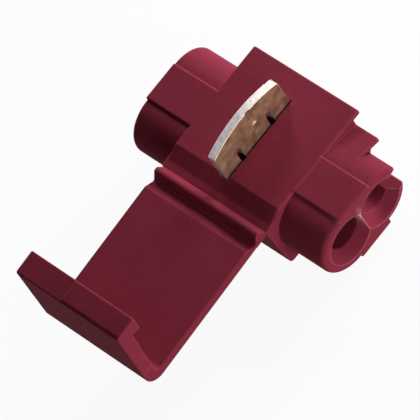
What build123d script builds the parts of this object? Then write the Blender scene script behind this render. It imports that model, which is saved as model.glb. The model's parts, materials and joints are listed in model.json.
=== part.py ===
from build123d import *
import os
from math import cos, radians, sin, tan

# Parallel run-and-tap quick-splice connector, in millimetres, in its open, as-moulded state.
# X runs along the two wires, +Y is the side that the hook snaps over, Z is up.
# The origin is the middle of the block's underside, between the two wire channels.

# Block
block_length = 10.74        # along the wires
body_height = 6.2           # block and barrels, underside to top face
near_face = 5.25            # from the middle plane to the hinge side
far_face = 5.35             # from the middle plane to the hook side
near_top_edge = 3.4         # where the top face turns down towards the hinge
near_edge_round = 0.3
near_foot = 4.6             # where that slope eases towards the first groove
near_foot_depth = 0.58      # below the top face
base_draft = 0.25           # how far the hinge side leans in at the underside
base_round = 0.45           # lower edge on the hinge side
ledge_reach = 0.78          # thin ledge over the hook side
ledge_thickness = 0.32
ledge_round = 0.12          # its upper edge
end_round = 0.26            # top edges across the wires

# Bevel under the hook side, past which the hook swings and then holds
bevel_rise = 1.5            # its top, above the underside
bevel_foot = 4.7            # its lower end, from the middle plane
bevel_land = 0.45           # height of that end

# Barrels
barrel_reach = 9.95         # from the middle to either end
barrel_radius = 2.9
barrel_offset = 1.77        # from the middle plane to each barrel's own axis
barrel_round = 0.45         # rounded ends
far_barrel_round = 0.2      # the run wire's barrel is crisper where it leaves
spine_width = 3.4           # flat band along the middle of the barrels
spine_round = 0.1
spine_end_round = 0.25

# Wire channels
channel_radius = 1.45
channel_offset = 1.75       # from the contact's middle to each channel's axis
channel_shift = 0.2         # channels and contact sit a little to the hook side
mouth_radius = 2.15         # the mouths widen to this, in line with the barrels
mouth_depth = 0.95
tap_stop = 6.0              # closed end of the tap channel, past the middle
slit_height = 1.1           # side entry of the run channel
slit_drop = 0.2             # its middle, below the channel's axis

# Jaws of the run channel, where it stands open at the end that both wires enter
jaw_radius = 2.65           # lower jaw
jaw_round = 0.35
jaw_top = 2.2               # top of the lower jaw, above the underside
lip_under = 4.35            # underside of the upper lip
lip_rise = 0.25             # that underside slopes up outwards by this much
lip_reach = 4.2             # edge of the upper lip, from the middle plane
lip_round = 0.28
shelf_reach = 2.25          # sloping shelf along the upper lip, past the block
shelf_root = 1.0            # how far it runs back into the block
shelf_tangent = 14          # degrees, where it leaves the barrel
shelf_thickness = 0.3
shelf_round = 0.12

# Contact, a stamped plate with a slot for each wire
contact_thickness = 0.68
contact_length = 7.5
contact_centre = -0.2       # its middle along the wires
arch_height = 3.6           # top of the arch above the block, before crimping
arch_end_height = 2.8       # ends of the arch above the block
arch_corner_round = 0.25
leg_clearance = 0.06        # between the leg tips and the channels below
wire_slot_width = 0.55
wire_slot_root = 1.14       # above the block, before crimping
leg_tip_width = 0.45        # blunt tip of the middle leg
lead_in_height = 1.15       # tapered stretch of the legs
crease_radius = 0.4         # crease coined into the face where the wires enter
crease_depth = 0.12
crease_length = 2.0
crease_offset = 0.5         # from the contact's middle, to the hook side
contact_travel = 3.6        # pressed home, the arch is level with the block

# Contact slot in the block
slot_play_length = 0.08     # at each end
slot_play_back = 0.03       # behind the contact
slot_play_front = 0.22      # on the side where the wires enter
slot_floor_play = 0.12      # below the pressed contact

# Double living hinge
strip_width = 10.5          # hinge and lid, along the wires
groove_a_depth = 0.65       # first groove, below the block's top face
web_a = 0.45                # thickness of the moulding under it
groove_flat = 0.08          # half width of a groove's floor
link_length = 1.25          # from the first groove to the second
ridge_offset = 0.43         # from the first groove to the ridge's flat top
ridge_width = 0.33
ridge_depth = 0.03          # below the block's top face
ridge_round = 0.22
groove_b_depth = 0.82       # second groove, below the block's top face
web_b = 0.38

# Lid and its hook, measured from the second groove along the lid and up from it
droop = 3.9                 # the open lid hangs this many degrees below level
lid_thickness = 0.86
lid_top = 0.47              # upper face
lid_start = 0.82            # where the lid has its full thickness
hook_inner = 11.8           # inner side of the hook wall, at the lid's upper face
hook_thickness = 1.25       # at the lid's upper face, but for the taper
hook_taper = 0.25           # how much thinner it is at its foot
hook_lean = 7               # degrees inwards
hook_height = 7.15          # above the lid's upper face
hook_lip_reach = 0.75
hook_lip_height = 1.25      # of the lip at the wall
hook_lip_barb = 0.38        # the lip's tip hangs lower by this much
hook_root_round = 0.5
hook_corner_round = 1.3
hook_top_round = 0.3        # outer edge of the wall's top
hook_step = 0.1             # step in the wall's top, where two halves of the mould meet
hook_step_x = -0.6
lid_edge_round = 0.14
lid_side_round = 0.08

half_block = block_length / 2
channel_z = body_height / 2
tap_y = channel_shift - channel_offset
run_y = channel_shift + channel_offset
slit_z = channel_z - slit_drop
outer_face = far_face + ledge_reach
hinge_a_y = -near_face
hinge_a_z = body_height - groove_a_depth
hinge_b_y = hinge_a_y - link_length
hinge_b_z = body_height - groove_b_depth
leg_tip_z = channel_z + channel_radius + leg_clearance
contact_back = contact_centre - contact_thickness / 2

os.makedirs("parts", exist_ok=True)

# Housing: the block is drawn from the side and runs along the wires
with BuildPart() as housing:
    with BuildSketch(Plane.YZ) as block_side:
        with BuildLine():
            Polyline(
                (-near_face + base_draft, 0),
                (-near_face, hinge_a_z - web_a),
                (hinge_a_y, hinge_a_z),
                (hinge_a_y + groove_flat, hinge_a_z),
                (-near_foot, body_height - near_foot_depth),
                (-near_top_edge, body_height),
                (outer_face, body_height),
                (outer_face, body_height - ledge_thickness),
                (far_face, body_height - ledge_thickness),
                (far_face, bevel_rise),
                (bevel_foot, bevel_land),
                (bevel_foot, 0),
                close=True,
            )
        make_face()
        for corner, radius in (
            ((-near_top_edge, body_height), near_edge_round),
            ((-near_face + base_draft, 0), base_round),
            ((bevel_foot, 0), base_round / 2),
        ):
            fillet(block_side.vertices().sort_by_distance(corner)[0], radius)
    extrude(amount=half_block, both=True)
    top_end_edges = housing.faces().filter_by(Plane.YZ).edges().filter_by(Axis.Y).group_by(Axis.Z)[-1]
    fillet(top_end_edges, end_round)
    fillet(housing.edges().filter_by(Axis.X).group_by(Axis.Y)[-1].sort_by(Axis.Z)[-1], ledge_round)

    # Barrels with rounded ends, joined by a flat band
    for side, start, end, radius, ends_round in (
        (-barrel_offset, -barrel_reach, barrel_reach, barrel_radius, barrel_round),
        (barrel_offset, -barrel_reach, 0, barrel_radius, far_barrel_round),
        (barrel_offset, 0, barrel_reach, jaw_radius, jaw_round),
    ):
        with BuildPart(Plane.YZ.offset(start), mode=Mode.PRIVATE) as barrel:
            with Locations((side, channel_z)):
                Cylinder(radius, end - start, align=(Align.CENTER, Align.CENTER, Align.MIN))
            fillet(barrel.edges().filter_by(GeomType.CIRCLE), ends_round)
        add(barrel.part)
    with BuildPart(mode=Mode.PRIVATE) as spine:
        Box(2 * barrel_reach, spine_width, body_height, align=(Align.CENTER, Align.CENTER, Align.MIN))
        fillet(spine.faces().filter_by(Plane.YZ).edges().filter_by(Axis.Y), spine_end_round)
        fillet(spine.edges().filter_by(Axis.X), spine_round)
    add(spine.part)

    # Upper lip of the run channel: the barrel's own round, cut off along its outer edge
    with BuildPart(Plane.YZ, mode=Mode.PRIVATE) as upper_lip:
        with Locations((barrel_offset, channel_z)):
            Cylinder(barrel_radius, barrel_reach, align=(Align.CENTER, Align.CENTER, Align.MIN))
        fillet(upper_lip.edges().filter_by(GeomType.CIRCLE), lip_round)
        with Locations((barrel_offset - barrel_radius, lip_under)):
            Box(
                lip_reach - barrel_offset + barrel_radius, body_height, barrel_reach,
                align=Align.MIN, mode=Mode.INTERSECT,
            )
    add(upper_lip.part)

    # Thin shelf that leaves the lip's round at a tangent
    shelf_y = barrel_offset + barrel_radius * sin(radians(shelf_tangent))
    shelf_z = channel_z + barrel_radius * cos(radians(shelf_tangent))
    shelf_edge_z = shelf_z - (far_face - shelf_y) * tan(radians(shelf_tangent))
    with BuildPart(mode=Mode.PRIVATE) as shelf:
        with BuildSketch(Plane.YZ.offset(half_block - shelf_root)):
            Polygon(
                (shelf_y, shelf_z), (far_face, shelf_edge_z),
                (far_face, shelf_edge_z - shelf_thickness), (shelf_y, shelf_z - shelf_thickness),
                align=None,
            )
        extrude(amount=shelf_root + shelf_reach)
        outer_corner = shelf.edges().filter_by(Axis.Z).sort_by(Axis.X)[-2:].sort_by(Axis.Y)[-1]
        fillet(outer_corner, shelf_round)
    add(shelf.part)

    # Wire channels: the tap wire's is closed, the run wire's goes through and opens sideways
    for wire_y, stop in ((tap_y, -tap_stop), (run_y, -barrel_reach)):
        with BuildSketch(Plane.YZ.offset(barrel_reach)):
            with Locations((wire_y, channel_z)):
                Circle(channel_radius)
        extrude(amount=stop - barrel_reach, mode=Mode.SUBTRACT)
    for wire_y, barrel_y, mouth_x, inner_x in (
        (tap_y, -barrel_offset, barrel_reach, barrel_reach - mouth_depth),
        (run_y, barrel_offset, barrel_reach, barrel_reach - mouth_depth),
        (run_y, barrel_offset, -barrel_reach, mouth_depth - barrel_reach),
    ):
        with BuildSketch(Plane.YZ.offset(mouth_x)):
            with Locations((barrel_y, channel_z)):
                Circle(mouth_radius)
        with BuildSketch(Plane.YZ.offset(inner_x)):
            with Locations((wire_y, channel_z)):
                Circle(channel_radius)
        loft(mode=Mode.SUBTRACT)
    with Locations((0, run_y, slit_z)):
        Box(
            2 * barrel_reach, outer_face - run_y, slit_height,
            align=(Align.CENTER, Align.MIN, Align.CENTER), mode=Mode.SUBTRACT,
        )
    with BuildSketch(Plane.YZ.offset(half_block)):
        Polygon(
            (run_y, jaw_top), (outer_face, jaw_top),
            (outer_face, lip_under + lip_rise), (lip_reach, lip_under + lip_rise), (run_y, lip_under),
            align=None,
        )
    extrude(amount=barrel_reach - half_block, mode=Mode.SUBTRACT)

    # Slot that guides the contact, across both channels
    slot_floor = leg_tip_z - contact_travel - slot_floor_play
    with Locations((contact_back - slot_play_back, channel_shift, slot_floor)):
        Box(
            contact_thickness + slot_play_back + slot_play_front,
            contact_length + 2 * slot_play_length,
            body_height,
            align=(Align.MIN, Align.CENTER, Align.MIN), mode=Mode.SUBTRACT,
        )

housing.part.label = "housing"
export_step(housing.part, "parts/housing.step")

# Contact: arched top, two wire slots with flared lead-ins, three legs
with BuildPart() as contact:
    with BuildSketch(Plane.YZ.offset(contact_centre)) as blank:
        near_end = channel_shift - contact_length / 2
        far_end = channel_shift + contact_length / 2
        arch_end_z = body_height + arch_end_height
        arch_top_z = body_height + arch_height
        with BuildLine():
            Polyline(
                (near_end, arch_end_z), (near_end, leg_tip_z), (far_end, leg_tip_z), (far_end, arch_end_z)
            )
            ThreePointArc(
                (far_end, arch_end_z), (channel_shift, arch_top_z), (near_end, arch_end_z)
            )
        make_face()
        fillet(blank.vertices().group_by(Axis.Y)[-1], arch_corner_round)
        slot_root_z = body_height + wire_slot_root
        lead_in_half = channel_offset - leg_tip_width / 2
        for wire_y in (tap_y, run_y):
            with Locations((wire_y, slot_root_z)):
                Circle(wire_slot_width / 2, mode=Mode.SUBTRACT)
                Rectangle(
                    wire_slot_width, slot_root_z - leg_tip_z,
                    align=(Align.CENTER, Align.MAX), mode=Mode.SUBTRACT,
                )
            with Locations((wire_y, leg_tip_z)):
                Polygon(
                    (-lead_in_half, 0), (lead_in_half, 0),
                    (wire_slot_width / 2, lead_in_height), (-wire_slot_width / 2, lead_in_height),
                    align=None, mode=Mode.SUBTRACT,
                )
    extrude(amount=contact_thickness / 2, both=True)
    crease_x = contact_centre + contact_thickness / 2 + crease_radius - crease_depth
    crease_foot = arch_top_z - crease_length + crease_radius
    with Locations((crease_x, channel_shift + crease_offset, crease_foot)):
        Sphere(crease_radius, mode=Mode.SUBTRACT)
        Cylinder(
            crease_radius, crease_length,
            align=(Align.CENTER, Align.CENTER, Align.MIN), mode=Mode.SUBTRACT,
        )

contact.part.label = "contact"
export_step(contact.part, "parts/contact.step")

# Link of the double hinge: a bar with a ridge, between the two grooves
with BuildPart() as hinge_link:
    with BuildSketch(Plane.YZ) as link_side:
        with BuildLine():
            Polyline(
                (hinge_a_y, hinge_a_z - web_a),
                (hinge_a_y, hinge_a_z),
                (hinge_a_y - groove_flat, hinge_a_z),
                (hinge_a_y - ridge_offset, body_height - ridge_depth),
                (hinge_a_y - ridge_offset - ridge_width, body_height - ridge_depth),
                (hinge_b_y + groove_flat, hinge_b_z),
                (hinge_b_y, hinge_b_z),
                (hinge_b_y, hinge_b_z - web_b),
                close=True,
            )
        make_face()
        fillet(link_side.vertices().group_by(Axis.Y)[-1], ridge_round)
    extrude(amount=strip_width / 2, both=True)

hinge_link.part.label = "hinge_link"
export_step(hinge_link.part, "parts/hinge_link.step")

# Lid: a plate that ends in a leaning wall with a lip, drawn in the drooping lid's own plane
lid_direction = Vector(0, -1, 0).rotate(Axis.X, droop)
lid_plane = Plane(origin=(0, hinge_b_y, hinge_b_z), x_dir=lid_direction, z_dir=(-1, 0, 0))
lean_rate = tan(radians(hook_lean))
wall_top = lid_top + hook_height
barb_root = wall_top - hook_lip_height
barb_tip = barb_root - hook_lip_barb
lid_under = lid_top - lid_thickness
barb_inner = hook_inner - hook_lip_reach
wall_outer = hook_inner + hook_thickness


def leaning(offset, height):
    """A point of the leaning wall, from its offset at the lid's upper face and its height."""
    return (offset - lean_rate * (height - lid_top), height)


with BuildPart() as lid:
    with BuildSketch(lid_plane) as lid_side:
        with BuildLine():
            Polyline(
                (web_b * sin(radians(droop)), -web_b * cos(radians(droop))),
                (0, 0),
                (groove_flat, 0),
                (lid_start, lid_top),
                (hook_inner, lid_top),
                leaning(hook_inner, barb_root),
                leaning(barb_inner, barb_tip),
                leaning(barb_inner, wall_top),
                leaning(wall_outer, wall_top),
                leaning(wall_outer - hook_taper, lid_under),
                (lid_start, lid_under),
                close=True,
            )
        make_face()
        for corner, radius in (
            ((hook_inner, lid_top), hook_root_round),
            (leaning(wall_outer - hook_taper, lid_under), hook_corner_round),
            (leaning(wall_outer, wall_top), hook_top_round),
            (leaning(barb_inner, wall_top), lid_edge_round),
            (leaning(barb_inner, barb_tip), lid_edge_round),
        ):
            fillet(lid_side.vertices().sort_by_distance(corner)[0], radius)
    extrude(amount=strip_width / 2, both=True)
    side_faces = lid.faces().filter_by(Plane.YZ)
    fillet(side_faces.edges(), lid_side_round)
    with BuildSketch(lid_plane.offset(-hook_step_x)):
        with BuildLine():
            Polyline(
                leaning(barb_inner, wall_top - hook_step), leaning(wall_outer, wall_top - hook_step),
                leaning(wall_outer, wall_top), leaning(barb_inner, wall_top), close=True,
            )
        make_face()
    extrude(amount=strip_width / 2 + hook_step_x, mode=Mode.SUBTRACT)

lid.part.label = "lid"
export_step(lid.part, "parts/lid.step")
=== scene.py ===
"""Dresses a quick-splice wire connector: a wine-red moulding that folds at a double hinge, and a contact.

Run as a script: blender --background --factory-startup --python scene.py
Lengths are in metres. X runs along the two wires, +Y is the side the hook snaps over, Z is up.
"""

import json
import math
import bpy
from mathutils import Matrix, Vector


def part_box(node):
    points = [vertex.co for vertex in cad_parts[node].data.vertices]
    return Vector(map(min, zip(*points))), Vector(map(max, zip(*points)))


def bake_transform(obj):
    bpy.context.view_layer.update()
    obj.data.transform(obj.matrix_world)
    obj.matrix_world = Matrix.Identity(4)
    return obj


bl_info = {
    "name": "Quick-Splice Connector",
    "version": (1, 0, 0),
    "blender": (4, 5, 0),
    "location": "View3D > Sidebar > Connector",
    "description": "Finishes the moulding and the contact of a quick-splice wire connector and lights it",
    "category": "Object",
}

import bpy
from bpy.props import FloatProperty, FloatVectorProperty, IntProperty, PointerProperty
from bpy.types import Operator, Panel, PropertyGroup
from mathutils import Matrix, Vector

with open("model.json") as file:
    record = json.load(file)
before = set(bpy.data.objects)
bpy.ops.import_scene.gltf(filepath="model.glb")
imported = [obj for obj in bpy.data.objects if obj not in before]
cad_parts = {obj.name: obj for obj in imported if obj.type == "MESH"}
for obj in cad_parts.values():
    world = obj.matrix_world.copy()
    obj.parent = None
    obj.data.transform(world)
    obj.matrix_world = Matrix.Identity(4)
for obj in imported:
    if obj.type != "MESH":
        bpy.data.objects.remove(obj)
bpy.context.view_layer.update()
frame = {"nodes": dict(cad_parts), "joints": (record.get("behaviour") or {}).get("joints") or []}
MM = 0.001
WHITE = (1.0, 1.0, 1.0, 1.0)

MOULDING_NODES = ("housing", "hinge_link", "lid")
BLOCK_TOP = 6.2 * MM    # height of the block's top above its underside


def linear(hex_colour):
    """An sRGB hex colour as linear red, green and blue."""
    parts = [int(hex_colour[i:i + 2], 16) / 255 for i in (1, 3, 5)]
    return tuple(p / 12.92 if p <= 0.04045 else ((p + 0.055) / 1.055) ** 2.4 for p in parts)


def add_node(tree, kind, links=(), **settings):
    """A node of that kind with its settings, and with (input, value or output) pairs set or linked."""
    made = tree.nodes.new(kind)
    for name, value in settings.items():
        setattr(made, name, value)
    for socket, value in links:
        if isinstance(value, bpy.types.NodeSocket):
            tree.links.new(value, made.inputs[socket])
        else:
            made.inputs[socket].default_value = value
    return made


def new_material(name):
    """An empty node material with its output."""
    material = bpy.data.materials.new(name)
    material.use_nodes = True
    tree = material.node_tree
    tree.nodes.clear()
    return material, tree, add_node(tree, "ShaderNodeOutputMaterial")


def give_material(node_name, material):
    """Puts the material on every slot of a CAD node."""
    for slot in frame["nodes"][node_name].material_slots:
        slot.material = material


def edge_mask(tree, radius, begins, strength):
    """A normal that rounds the edges by that radius, and a mask of those edges.

    The mask begins where the cosine between the rounded and the flat normal falls to begins.
    """
    full = 0.8    # the cosine at which the mask has its strength
    rounded = add_node(tree, "ShaderNodeBevel", [("Radius", radius)], samples=6)
    flat = add_node(tree, "ShaderNodeNewGeometry")
    along = add_node(
        tree, "ShaderNodeVectorMath",
        [(0, rounded.outputs["Normal"]), (1, flat.outputs["True Normal"])], operation="DOT_PRODUCT",
    )
    mask = add_node(
        tree, "ShaderNodeMapRange",
        [
            ("Value", along.outputs["Value"]), ("From Min", begins), ("From Max", full),
            ("To Min", 0.0), ("To Max", strength),
        ],
        interpolation_type="SMOOTHSTEP",
    )
    return rounded.outputs["Normal"], mask.outputs["Result"]


def block_step(tree, where, values):
    """The low rounded step that ends the block's top: a painted highlight line along it, and the drop past it
    in metres.
    """
    top_play = 0.2 * MM    # how far from the top's height still counts as the top
    half_run = 0.1 * MM    # half the length over which the step drops
    highlight_core, highlight_end, highlight_strength = 0.04 * MM, 0.2 * MM, 0.3
    on_top = add_node(
        tree, "ShaderNodeMath",
        [(0, where.outputs["Z"]), (1, BLOCK_TOP), (2, top_play)], operation="COMPARE",
    )
    past = add_node(
        tree, "ShaderNodeMapRange",
        [
            ("Value", where.outputs["X"]), ("From Min", values.block_end - half_run),
            ("From Max", values.block_end + half_run), ("To Min", 0.0), ("To Max", values.step),
        ],
        interpolation_type="SMOOTHSTEP",
    )
    drop = add_node(
        tree, "ShaderNodeMath",
        [(0, past.outputs["Result"]), (1, on_top.outputs[0])], operation="MULTIPLY",
    )
    from_end = add_node(
        tree, "ShaderNodeMath", [(0, where.outputs["X"]), (1, values.block_end)], operation="SUBTRACT",
    )
    from_end = add_node(tree, "ShaderNodeMath", [(0, from_end.outputs[0])], operation="ABSOLUTE")
    # Painted highlight: a pale line along the step on the block's top
    line = add_node(
        tree, "ShaderNodeMapRange",
        [
            ("Value", from_end.outputs[0]), ("From Min", highlight_core), ("From Max", highlight_end),
            ("To Min", highlight_strength), ("To Max", 0.0),
        ],
        interpolation_type="SMOOTHSTEP",
    )
    line = add_node(
        tree, "ShaderNodeMath",
        [(0, line.outputs["Result"]), (1, on_top.outputs[0])], operation="MULTIPLY",
    )
    return line.outputs[0], drop.outputs[0]


def painted_mouth_highlights(tree, place, where, edge, mottle):
    """Painted highlight on the +X mouths: on the web between them in patches, and on the rims."""
    mouth_begins, mouth_full = 8.7 * MM, 9.3 * MM    # along the wires, from the middle
    web_middle = (0, 0, 3.7 * MM)
    web_weights = (0, 1.5, 0.4)                      # the highlighted place is taller than it is wide
    web_core, web_end = 0.15 * MM, 0.7 * MM          # weighted distances from the web's middle
    web_gain, web_base = 1.2, 0.3                    # more of it on the sharp edge than beside it
    rim_share = 0.35
    patch_begins, patch_full, patch_least = 0.4, 0.56, 0.4
    mouth = add_node(
        tree, "ShaderNodeMapRange",
        [
            ("Value", where.outputs["X"]), ("From Min", mouth_begins), ("From Max", mouth_full),
            ("To Min", 0.0), ("To Max", 1.0),
        ],
    )
    from_web = add_node(tree, "ShaderNodeVectorMath", [(0, place), (1, web_middle)], operation="SUBTRACT")
    from_web = add_node(
        tree, "ShaderNodeVectorMath",
        [(0, from_web.outputs["Vector"]), (1, web_weights)], operation="MULTIPLY",
    )
    from_web = add_node(
        tree, "ShaderNodeVectorMath", [(0, from_web.outputs["Vector"])], operation="LENGTH",
    )
    web = add_node(
        tree, "ShaderNodeMapRange",
        [
            ("Value", from_web.outputs["Value"]), ("From Min", web_core), ("From Max", web_end),
            ("To Min", 1.0), ("To Max", 0.0),
        ],
    )
    sharp = add_node(
        tree, "ShaderNodeMath", [(0, edge), (1, web_gain), (2, web_base)], operation="MULTIPLY_ADD",
    )
    web = add_node(
        tree, "ShaderNodeMath",
        [(0, web.outputs["Result"]), (1, sharp.outputs[0])], operation="MULTIPLY",
    )
    rim = add_node(tree, "ShaderNodeMath", [(0, edge), (1, rim_share)], operation="MULTIPLY")
    wear_and_highlight = add_node(
        tree, "ShaderNodeMath", [(0, web.outputs[0]), (1, rim.outputs[0])], operation="MAXIMUM",
    )
    patches = add_node(
        tree, "ShaderNodeMapRange",
        [
            ("Value", mottle), ("From Min", patch_begins), ("From Max", patch_full),
            ("To Min", patch_least), ("To Max", 1.0),
        ],
    )
    wear_and_highlight = add_node(
        tree, "ShaderNodeMath",
        [(0, mouth.outputs["Result"]), (1, wear_and_highlight.outputs[0])], operation="MULTIPLY",
    )
    wear_and_highlight = add_node(
        tree, "ShaderNodeMath",
        [(0, wear_and_highlight.outputs[0]), (1, patches.outputs["Result"])], operation="MULTIPLY",
    )
    return wear_and_highlight.outputs[0]


def seen_white(tree):
    """1 where the camera, a reflection or a see-through part looks at it, and 0 where it only gives light."""
    rays = add_node(tree, "ShaderNodeLightPath")
    seen = rays.outputs["Is Camera Ray"]
    for name in ("Is Glossy Ray", "Is Transmission Ray"):
        either = add_node(tree, "ShaderNodeMath", [(0, seen), (1, rays.outputs[name])], operation="MAXIMUM")
        seen = either.outputs[0]
    return seen


class ConnectorMoulding(PropertyGroup):
    """Colours and surface of the moulding."""

    colour: FloatVectorProperty(
        name="Colour", description="Dyed-through colour of the plastic",
        subtype="COLOR", size=3, min=0, max=1, default=linear("#812D3D"),
    )
    # Painted highlight: the paler colour laid along the rounded edges and along the block's end step
    edge_highlight_colour: FloatVectorProperty(
        name="Edge highlight colour", description="Painted highlight along the rounded edges",
        subtype="COLOR", size=3, min=0, max=1, default=linear("#B8485C"),
    )
    roughness: FloatProperty(
        name="Roughness", description="Matt finish of the mould", subtype="FACTOR",
        min=0, max=1, default=0.72,
    )
    grain: FloatProperty(
        name="Grain", description="Size of the spark-eroded texture", subtype="DISTANCE", unit="LENGTH",
        min=0.00001, default=0.0002,
    )
    grain_depth: FloatProperty(
        name="Grain depth", description="Depth of the spark-eroded texture",
        subtype="DISTANCE", unit="LENGTH", min=0, default=0.0000072,
    )
    edge_round: FloatProperty(
        name="Edge round", description="Rounding that the mould leaves on the sharper edges",
        subtype="DISTANCE", unit="LENGTH", min=0, default=0.00018,
    )
    # Painted highlight for the web between the +X mouths and for their rims
    mouth_highlight_colour: FloatVectorProperty(
        name="Mouth highlight colour", description="Painted highlight on the web between the +X mouths and on their rims",
        subtype="COLOR", size=3, min=0, max=1, default=linear("#F2C9D2"),
    )
    block_end: FloatProperty(
        name="Block end", description="Distance from the middle to the low step where the block's top ends",
        subtype="DISTANCE", unit="LENGTH", min=0, default=0.00537,
    )
    step: FloatProperty(
        name="Step", description="Height of that step", subtype="DISTANCE", unit="LENGTH",
        min=0, default=0.00008,
    )


class ConnectorContact(PropertyGroup):
    """Colours and surface of the contact."""

    plating: FloatVectorProperty(
        name="Plating", description="Tin on the faces", subtype="COLOR", size=3, min=0, max=1,
        default=linear("#C7A588"),
    )
    tarnish: FloatVectorProperty(
        name="Tarnish", description="Brown that clouds the tin", subtype="COLOR", size=3, min=0, max=1,
        default=linear("#8F6B55"),
    )
    cut_dark: FloatVectorProperty(
        name="Cut edge, dark", description="Darker grey of the speckled cut edge",
        subtype="COLOR", size=3, min=0, max=1, default=linear("#66615F"),
    )
    cut_pale: FloatVectorProperty(
        name="Cut edge, pale", description="Paler grey of the speckled cut edge",
        subtype="COLOR", size=3, min=0, max=1, default=linear("#D2CACF"),
    )
    brass: FloatVectorProperty(
        name="Brass", description="Bare brass along the corners", subtype="COLOR", size=3, min=0, max=1,
        default=linear("#F0DFA8"),
    )
    roughness: FloatProperty(
        name="Roughness", description="Rolled and plated face", subtype="FACTOR", min=0, max=1, default=0.52,
    )
    edge_round: FloatProperty(
        name="Edge round", description="Rounding that stamping leaves on the corners",
        subtype="DISTANCE", unit="LENGTH", min=0, default=0.00012,
    )
    shear_pitch: FloatProperty(
        name="Shear marks", description="Distance between the marks that the punch leaves on the cut edge",
        subtype="DISTANCE", unit="LENGTH", min=0.00001, default=0.00022,
    )


class ConnectorHinge(PropertyGroup):
    """Thin webs at the two grooves, where the moulding bends."""

    span: FloatProperty(
        name="Web span", description="Length of moulding that bends at each groove", subtype="DISTANCE",
        unit="LENGTH", min=0.0001, default=0.0007,
    )
    inset: FloatProperty(
        name="Inset", description="How far the webs stay below the moulding's own surface while it is open",
        subtype="DISTANCE", unit="LENGTH", min=0, default=0.00003,
    )
    steps: IntProperty(name="Steps", description="Rows of faces round each bend", min=4, max=64, default=20)


class ConnectorStage(PropertyGroup):
    """Floor, lamps and camera."""

    floor: FloatVectorProperty(
        name="Floor", description="Colour of the floor", subtype="COLOR", size=3, min=0, max=1,
        default=linear("#F4F4F4"),
    )
    ambient: FloatProperty(name="Surroundings", description="Light from all round", min=0, default=0.05)
    key: FloatProperty(
        name="Key lamp", description="Soft lamp on the hook side", unit="POWER", min=0, default=0.122,
    )
    side: FloatProperty(
        name="Side lamp", description="Soft lamp where the wires enter", unit="POWER", min=0, default=0.078,
    )
    back: FloatProperty(
        name="Back lamp", description="Soft lamp behind the raised contact", unit="POWER",
        min=0, default=0.055,
    )
    azimuth: FloatProperty(
        name="Azimuth", description="Camera's angle round the connector", subtype="ANGLE", unit="ROTATION",
        default=math.radians(72.2105),
    )
    elevation: FloatProperty(
        name="Elevation", description="Camera's angle above the floor", subtype="ANGLE", unit="ROTATION",
        default=math.radians(57.0),
    )
    roll: FloatProperty(
        name="Roll", description="Camera's turn about its own line of sight",
        subtype="ANGLE", unit="ROTATION", default=math.radians(-36.0358),
    )
    distance: FloatProperty(
        name="Distance", description="Camera to the middle of the block's top",
        subtype="DISTANCE", unit="LENGTH", default=0.39813,
    )
    lens: FloatProperty(name="Lens", description="Focal length in millimetres", default=461.1)


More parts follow.
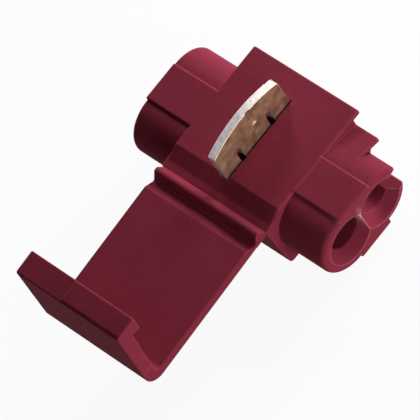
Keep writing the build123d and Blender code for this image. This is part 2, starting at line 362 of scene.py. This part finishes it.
class CONNECTOR_OT_moulding(Operator):
    """Give the moulding its matt polypropylene."""

    bl_idname = "connector.moulding"
    bl_label = "Finish the Moulding"

    def execute(self, context):
        values = context.scene.connector_moulding
        # Injection-moulded polypropylene: dyed through and slightly waxy, with the fine matt grain
        # of a spark-eroded mould. The paler colour along the edges is a painted highlight
        material, tree, output = new_material("polypropylene_injection_moulded")
        place = add_node(tree, "ShaderNodeTexCoord").outputs["Object"]
        where = add_node(tree, "ShaderNodeSeparateXYZ", [(0, place)])
        # This edge mask places the painted highlight along the rounded edges
        rounded, edge = edge_mask(tree, values.edge_round, begins=0.995, strength=0.85)
        step_highlight, step_drop = block_step(tree, where, values)
        # The step's painted highlight line joins the edge mask
        edge = add_node(tree, "ShaderNodeMath", [(0, edge), (1, step_highlight)], operation="MAXIMUM").outputs[0]

        # Broad clouds left by the melt's flow, mottling inside them, and the grain. Real grain of this kind
        # is some hundredths of a millimetre, too fine to show, so it is drawn as coarse as the value says
        patterns = {}
        for name, size, detail, roughness in (
            ("flow", 3.5 * MM, 3.0, 0.55), ("mottle", 0.6 * MM, 4.0, 0.6), ("grain", values.grain, 2.0, 0.6),
        ):
            patterns[name] = add_node(
                tree, "ShaderNodeTexNoise",
                [("Vector", place), ("Scale", 1 / size), ("Detail", detail), ("Roughness", roughness)],
            ).outputs["Fac"]
        tone = patterns["flow"]
        for name, share in (("mottle", 0.5), ("grain", 0.4)):
            tone = add_node(
                tree, "ShaderNodeMix", [(0, share), (2, tone), (3, patterns[name])], data_type="FLOAT",
            ).outputs[0]
        shade = add_node(
            tree, "ShaderNodeMapRange",
            [("Value", tone), ("From Min", 0.3), ("From Max", 0.7), ("To Min", 0.86), ("To Max", 1.14)],
        )
        body_colour = add_node(
            tree, "ShaderNodeVectorMath",
            [(0, tuple(values.colour)), ("Scale", shade.outputs["Result"])], operation="SCALE",
        )

        # Over the body colour lies the painted highlight on the edges, and over that the painted highlight on
        # the mouths
        colour = body_colour.outputs["Vector"]
        # Painted highlight on the web between the +X mouths and on their rims
        wear_and_highlight = painted_mouth_highlights(tree, place, where, edge, patterns["mottle"])
        for share, over in ((edge, values.edge_highlight_colour), (wear_and_highlight, values.mouth_highlight_colour)):
            colour = add_node(
                tree, "ShaderNodeMix", [(0, share), (6, colour), (7, (*over, 1.0))], data_type="RGBA",
            ).outputs[2]
        finish = add_node(
            tree, "ShaderNodeMapRange",
            [
                ("Value", patterns["mottle"]), ("From Min", 0.3), ("From Max", 0.7),
                ("To Min", values.roughness - 0.05), ("To Max", values.roughness + 0.06),
            ],
        )
        pits = add_node(
            tree, "ShaderNodeMath", [(0, patterns["grain"]), (1, values.grain_depth)], operation="MULTIPLY",
        )
        # The relief is in metres, so the bump has its full strength and a distance of 1
        relief = add_node(
            tree, "ShaderNodeMath", [(0, pits.outputs[0]), (1, step_drop)], operation="SUBTRACT",
        )
        bump = add_node(
            tree, "ShaderNodeBump",
            [("Strength", 1.0), ("Distance", 1.0), ("Height", relief.outputs[0]), ("Normal", rounded)],
        )
        # The highlight is kept faint, because at a low angle it takes on the white of the surroundings
        shader = add_node(
            tree, "ShaderNodeBsdfPrincipled",
            [
                ("Base Color", colour), ("Roughness", finish.outputs["Result"]),
                ("Normal", bump.outputs["Normal"]), ("IOR", 1.49), ("Specular IOR Level", 0.025),
                ("Subsurface Weight", 0.22), ("Subsurface Radius", (1.0, 0.28, 0.3)),
                ("Subsurface Scale", 0.35 * MM),
            ],
        )
        tree.links.new(shader.outputs[0], output.inputs["Surface"])
        for name in MOULDING_NODES:
            give_material(name, material)
        return {"FINISHED"}


class CONNECTOR_OT_hinge_webs(Operator):
    """Make the webs at the two grooves, where the moulding bends."""

    bl_idname = "connector.hinge_webs"
    bl_label = "Make the Hinge Webs"

    def execute(self, context):
        values = context.scene.connector_hinge
        joints = {joint["name"]: joint for joint in frame["joints"]}
        low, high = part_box("hinge_link")
        material = frame["nodes"]["hinge_link"].material_slots[0].material
        tree = self.web_tree()
        sockets = {s.name: s.identifier for s in tree.interface.items_tree if s.in_out == "INPUT"}
        for joint_name in ("hinge_a", "hinge_b"):
            joint = joints[joint_name]
            pivot = Vector(joint["pos_m"])
            thickness = pivot.z - low.z - 2 * values.inset
            web = bpy.data.objects.new("hinge_web_" + joint_name[-1], bpy.data.meshes.new("web"))
            context.scene.collection.objects.link(web)
            modifier = web.modifiers.new("Web", "NODES")
            modifier.node_group = tree
            for name, value in (
                ("Width", high.x - low.x - 2 * values.inset), ("Span", values.span),
                ("Thickness", thickness), ("Steps", values.steps), ("Material", material),
            ):
                modifier[sockets[name]] = value
            context.view_layer.update()
            plain = bpy.data.meshes.new_from_object(
                web.evaluated_get(context.evaluated_depsgraph_get())
            )
            web.modifiers.remove(modifier)
            web.data = plain
            plain.transform(Matrix.Translation((0, pivot.y, pivot.z - values.inset - thickness / 2)))
            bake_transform(web)
        return {"FINISHED"}

    @staticmethod
    def web_tree():
        """A strip of the given width, span and thickness, cut into rows so that it can bend."""
        tree = bpy.data.node_groups.new("Hinge web", "GeometryNodeTree")
        tree.interface.new_socket("Geometry", in_out="OUTPUT", socket_type="NodeSocketGeometry")
        for name, kind in (
            ("Width", "Float"), ("Span", "Float"), ("Thickness", "Float"), ("Steps", "Int"),
            ("Material", "Material"),
        ):
            tree.interface.new_socket(name, in_out="INPUT", socket_type="NodeSocket" + kind)
        given = add_node(tree, "NodeGroupInput")
        size = add_node(
            tree, "ShaderNodeCombineXYZ",
            [("X", given.outputs["Width"]), ("Y", given.outputs["Span"]), ("Z", given.outputs["Thickness"])],
        )
        strip = add_node(
            tree, "GeometryNodeMeshCube",
            [
                ("Size", size.outputs[0]), ("Vertices X", 3), ("Vertices Y", given.outputs["Steps"]),
                ("Vertices Z", 4),
            ],
        )
        real = add_node(tree, "GeometryNodeRealizeInstances", [("Geometry", strip.outputs["Mesh"])])
        finished = add_node(
            tree, "GeometryNodeSetMaterial",
            [("Geometry", real.outputs[0]), ("Material", given.outputs["Material"])],
        )
        add_node(tree, "NodeGroupOutput", [(0, finished.outputs[0])])
        return tree


class CONNECTOR_OT_contact(Operator):
    """Give the contact its tin-plated brass."""

    bl_idname = "connector.contact"
    bl_label = "Finish the Contact"

    def execute(self, context):
        values = context.scene.connector_contact
        # Brass strip, tin-plated and then stamped: tin faces that cloud towards brown, speckled grey
        # cut edges, and bare yellow brass where the punch rubbed the corners
        material, tree, output = new_material("brass_tin_plated_stamped")
        coordinates = add_node(tree, "ShaderNodeTexCoord")
        place = coordinates.outputs["Object"]
        facing = add_node(tree, "ShaderNodeSeparateXYZ", [(0, coordinates.outputs["Normal"])])
        face = add_node(tree, "ShaderNodeMath", [(0, facing.outputs["X"])], operation="ABSOLUTE")
        cut = add_node(
            tree, "ShaderNodeMapRange",
            [
                ("Value", face.outputs[0]), ("From Min", 0.8), ("From Max", 0.5),
                ("To Min", 0.0), ("To Max", 1.0),
            ],
        )
        rounded, wear_and_highlight = edge_mask(tree, values.edge_round, begins=0.99, strength=0.9)

        # The punch's marks run through the sheet, and on the faces the same pattern stands upright. Real
        # marks are finer than this pitch, which is as coarse as they have to be to show
        drawn_out = add_node(
            tree, "ShaderNodeMapping", [("Vector", place), ("Scale", (0.12, 1.0, 0.35))],
        )
        patterns = {}
        for name, vector, size, detail, roughness in (
            ("cloud", place, 0.9 * MM, 5.0, 0.6),
            ("speckle", place, 0.3 * MM, 3.0, 0.65),
            ("shear", drawn_out.outputs[0], values.shear_pitch, 3.0, 0.6),
        ):
            patterns[name] = add_node(
                tree, "ShaderNodeTexNoise",
                [("Vector", vector), ("Scale", 1 / size), ("Detail", detail), ("Roughness", roughness)],
            ).outputs["Fac"]
        tin = add_node(
            tree, "ShaderNodeMix",
            [(0, patterns["cloud"]), (6, (*values.tarnish, 1.0)), (7, (*values.plating, 1.0))],
            data_type="RGBA",
        )
        sheared = add_node(
            tree, "ShaderNodeMix",
            [(0, patterns["speckle"]), (6, (*values.cut_dark, 1.0)), (7, (*values.cut_pale, 1.0))],
            data_type="RGBA",
        )
        stamped = add_node(
            tree, "ShaderNodeMix",
            [(0, cut.outputs["Result"]), (6, tin.outputs[2]), (7, sheared.outputs[2])], data_type="RGBA",
        )
        colour = add_node(
            tree, "ShaderNodeMix",
            [(0, wear_and_highlight), (6, stamped.outputs[2]), (7, (*values.brass, 1.0))], data_type="RGBA",
        )
        finish = add_node(
            tree, "ShaderNodeMapRange",
            [
                ("Value", patterns["cloud"]), ("From Min", 0.3), ("From Max", 0.7),
                ("To Min", values.roughness - 0.06), ("To Max", values.roughness + 0.12),
            ],
        )
        bump = add_node(
            tree, "ShaderNodeBump",
            [
                ("Strength", 0.5), ("Distance", 0.012 * MM), ("Height", patterns["shear"]),
                ("Normal", rounded),
            ],
        )
        shader = add_node(
            tree, "ShaderNodeBsdfPrincipled",
            [
                ("Base Color", colour.outputs[2]), ("Metallic", 1.0),
                ("Roughness", finish.outputs["Result"]), ("Normal", bump.outputs["Normal"]),
            ],
        )
        tree.links.new(shader.outputs[0], output.inputs["Surface"])
        give_material("contact", material)
        return {"FINISHED"}


class CONNECTOR_OT_stage(Operator):
    """Make the floor, the lamps and the camera."""

    bl_idname = "connector.stage"
    bl_label = "Make the Stage"

    def execute(self, context):
        values = context.scene.connector_stage
        context.scene.view_settings.view_transform = "Standard"
        self.add_floor(context.scene, values)
        self.add_surroundings(context.scene, values)
        self.add_lamps(context.scene, values)
        self.add_camera(context.scene, values)
        return {"FINISHED"}

    @staticmethod
    def add_floor(scene, values):
        """A square of board just below the connector."""
        half_side, below = 0.6, 0.02 * MM
        white_share = 0.93    # the rest is the lit board, which has the shadow
        # Painted board: matt and pale, so it is seen as nearly white and keeps the connector's shadow
        material, tree, output = new_material("board_matt_painted")
        share = add_node(
            tree, "ShaderNodeMath", [(0, seen_white(tree)), (1, white_share)], operation="MULTIPLY",
        )
        board = add_node(
            tree, "ShaderNodeBsdfPrincipled", [("Base Color", (*values.floor, 1.0)), ("Roughness", 0.9)],
        )
        white = add_node(tree, "ShaderNodeEmission", [("Color", WHITE), ("Strength", 1.0)])
        mixed = add_node(
            tree, "ShaderNodeMixShader",
            [(0, share.outputs[0]), (1, board.outputs[0]), (2, white.outputs[0])],
        )
        tree.links.new(mixed.outputs[0], output.inputs["Surface"])

        mesh = bpy.data.meshes.new("floor")
        corners = [(x * half_side, y * half_side, 0) for x, y in ((-1, -1), (1, -1), (1, 1), (-1, 1))]
        mesh.from_pydata(corners, [], [(0, 1, 2, 3)])
        mesh.materials.append(material)
        floor = bpy.data.objects.new("floor", mesh)
        floor.location.z = -below
        scene.collection.objects.link(floor)

    @staticmethod
    def add_surroundings(scene, values):
        """A world that is seen as white and gives a little light from all round."""
        world = bpy.data.worlds.new("surroundings")
        world.use_nodes = True
        tree = world.node_tree
        tree.nodes.clear()
        soft = add_node(tree, "ShaderNodeBackground", [("Color", WHITE), ("Strength", values.ambient)])
        white = add_node(tree, "ShaderNodeBackground", [("Color", WHITE), ("Strength", 1.0)])
        mixed = add_node(
            tree, "ShaderNodeMixShader", [(0, seen_white(tree)), (1, soft.outputs[0]), (2, white.outputs[0])],
        )
        add_node(tree, "ShaderNodeOutputWorld", [("Surface", mixed.outputs[0])])
        scene.world = world

    @staticmethod
    def add_lamps(scene, values):
        """Three soft round lamps, each turned to the middle of the connector."""
        middle = Vector((0, -4, 5)) * MM
        for name, power, offset, size in (
            ("key_lamp", values.key, Vector((0, 106, 44)) * MM, 0.05),
            ("side_lamp", values.side, Vector((113, -4, 21)) * MM, 0.05),
            ("back_lamp", values.back, Vector((-69, 71, 57)) * MM, 0.03),
        ):
            lamp = bpy.data.lights.new(name, "AREA")
            lamp.shape = "DISK"
            lamp.size = size
            lamp.energy = power
            holder = bpy.data.objects.new(name, lamp)
            holder.location = middle + offset
            holder.rotation_mode = "QUATERNION"
            holder.rotation_quaternion = offset.to_track_quat("Z", "Y")
            scene.collection.objects.link(holder)

    @staticmethod
    def add_camera(scene, values):
        """A camera at the photograph's angle, with the connector where the photograph has it."""
        sideways, upwards = -3.319 * MM, -5.142 * MM    # from the block's top, in the camera's own plane
        a, e, roll = values.azimuth, values.elevation, values.roll
        back = Vector((math.sin(a) * math.cos(e), -math.cos(a) * math.cos(e), math.sin(e)))
        level = Vector((math.cos(a), math.sin(a), 0))
        upright = back.cross(level)
        right = level * math.cos(roll) + upright * math.sin(roll)
        up = upright * math.cos(roll) - level * math.sin(roll)
        camera = bpy.data.cameras.new("camera")
        camera.sensor_width = 36
        camera.lens = values.lens
        camera.clip_start, camera.clip_end = 0.01, 10
        view = bpy.data.objects.new("camera", camera)
        view.matrix_world = Matrix((right, up, back)).transposed().to_4x4()
        view.location = (
            Vector((0, 0, BLOCK_TOP)) + back * values.distance + right * sideways + up * upwards
        )
        scene.collection.objects.link(view)
        scene.camera = view


GROUPS = {
    "connector_moulding": ConnectorMoulding,
    "connector_hinge": ConnectorHinge,
    "connector_contact": ConnectorContact,
    "connector_stage": ConnectorStage,
}
OPERATORS = (CONNECTOR_OT_moulding, CONNECTOR_OT_hinge_webs, CONNECTOR_OT_contact, CONNECTOR_OT_stage)


class CONNECTOR_PT_panel(Panel):
    """Lists the connector's pieces and the stage."""

    bl_idname = "CONNECTOR_PT_panel"
    bl_label = "Quick-Splice Connector"
    bl_space_type = "VIEW_3D"
    bl_region_type = "UI"
    bl_category = "Connector"

    def draw(self, context):
        for group, operator in zip(GROUPS, OPERATORS):
            box = self.layout.box()
            values = getattr(context.scene, group)
            for name in values.bl_rna.properties.keys():
                if name not in {"rna_type", "name"}:
                    box.prop(values, name)
            box.operator(operator.bl_idname)


def register():
    for name, group in GROUPS.items():
        bpy.utils.register_class(group)
        setattr(bpy.types.Scene, name, PointerProperty(type=group))
    for made in (*OPERATORS, CONNECTOR_PT_panel):
        bpy.utils.register_class(made)


def unregister():
    for made in reversed((*OPERATORS, CONNECTOR_PT_panel)):
        bpy.utils.unregister_class(made)
    for name, group in reversed(GROUPS.items()):
        delattr(bpy.types.Scene, name)
        bpy.utils.unregister_class(group)


def main():
    register()
    bpy.ops.connector.moulding()
    bpy.ops.connector.hinge_webs()
    bpy.ops.connector.contact()
    bpy.ops.connector.stage()


if __name__ == "__main__":
    main()
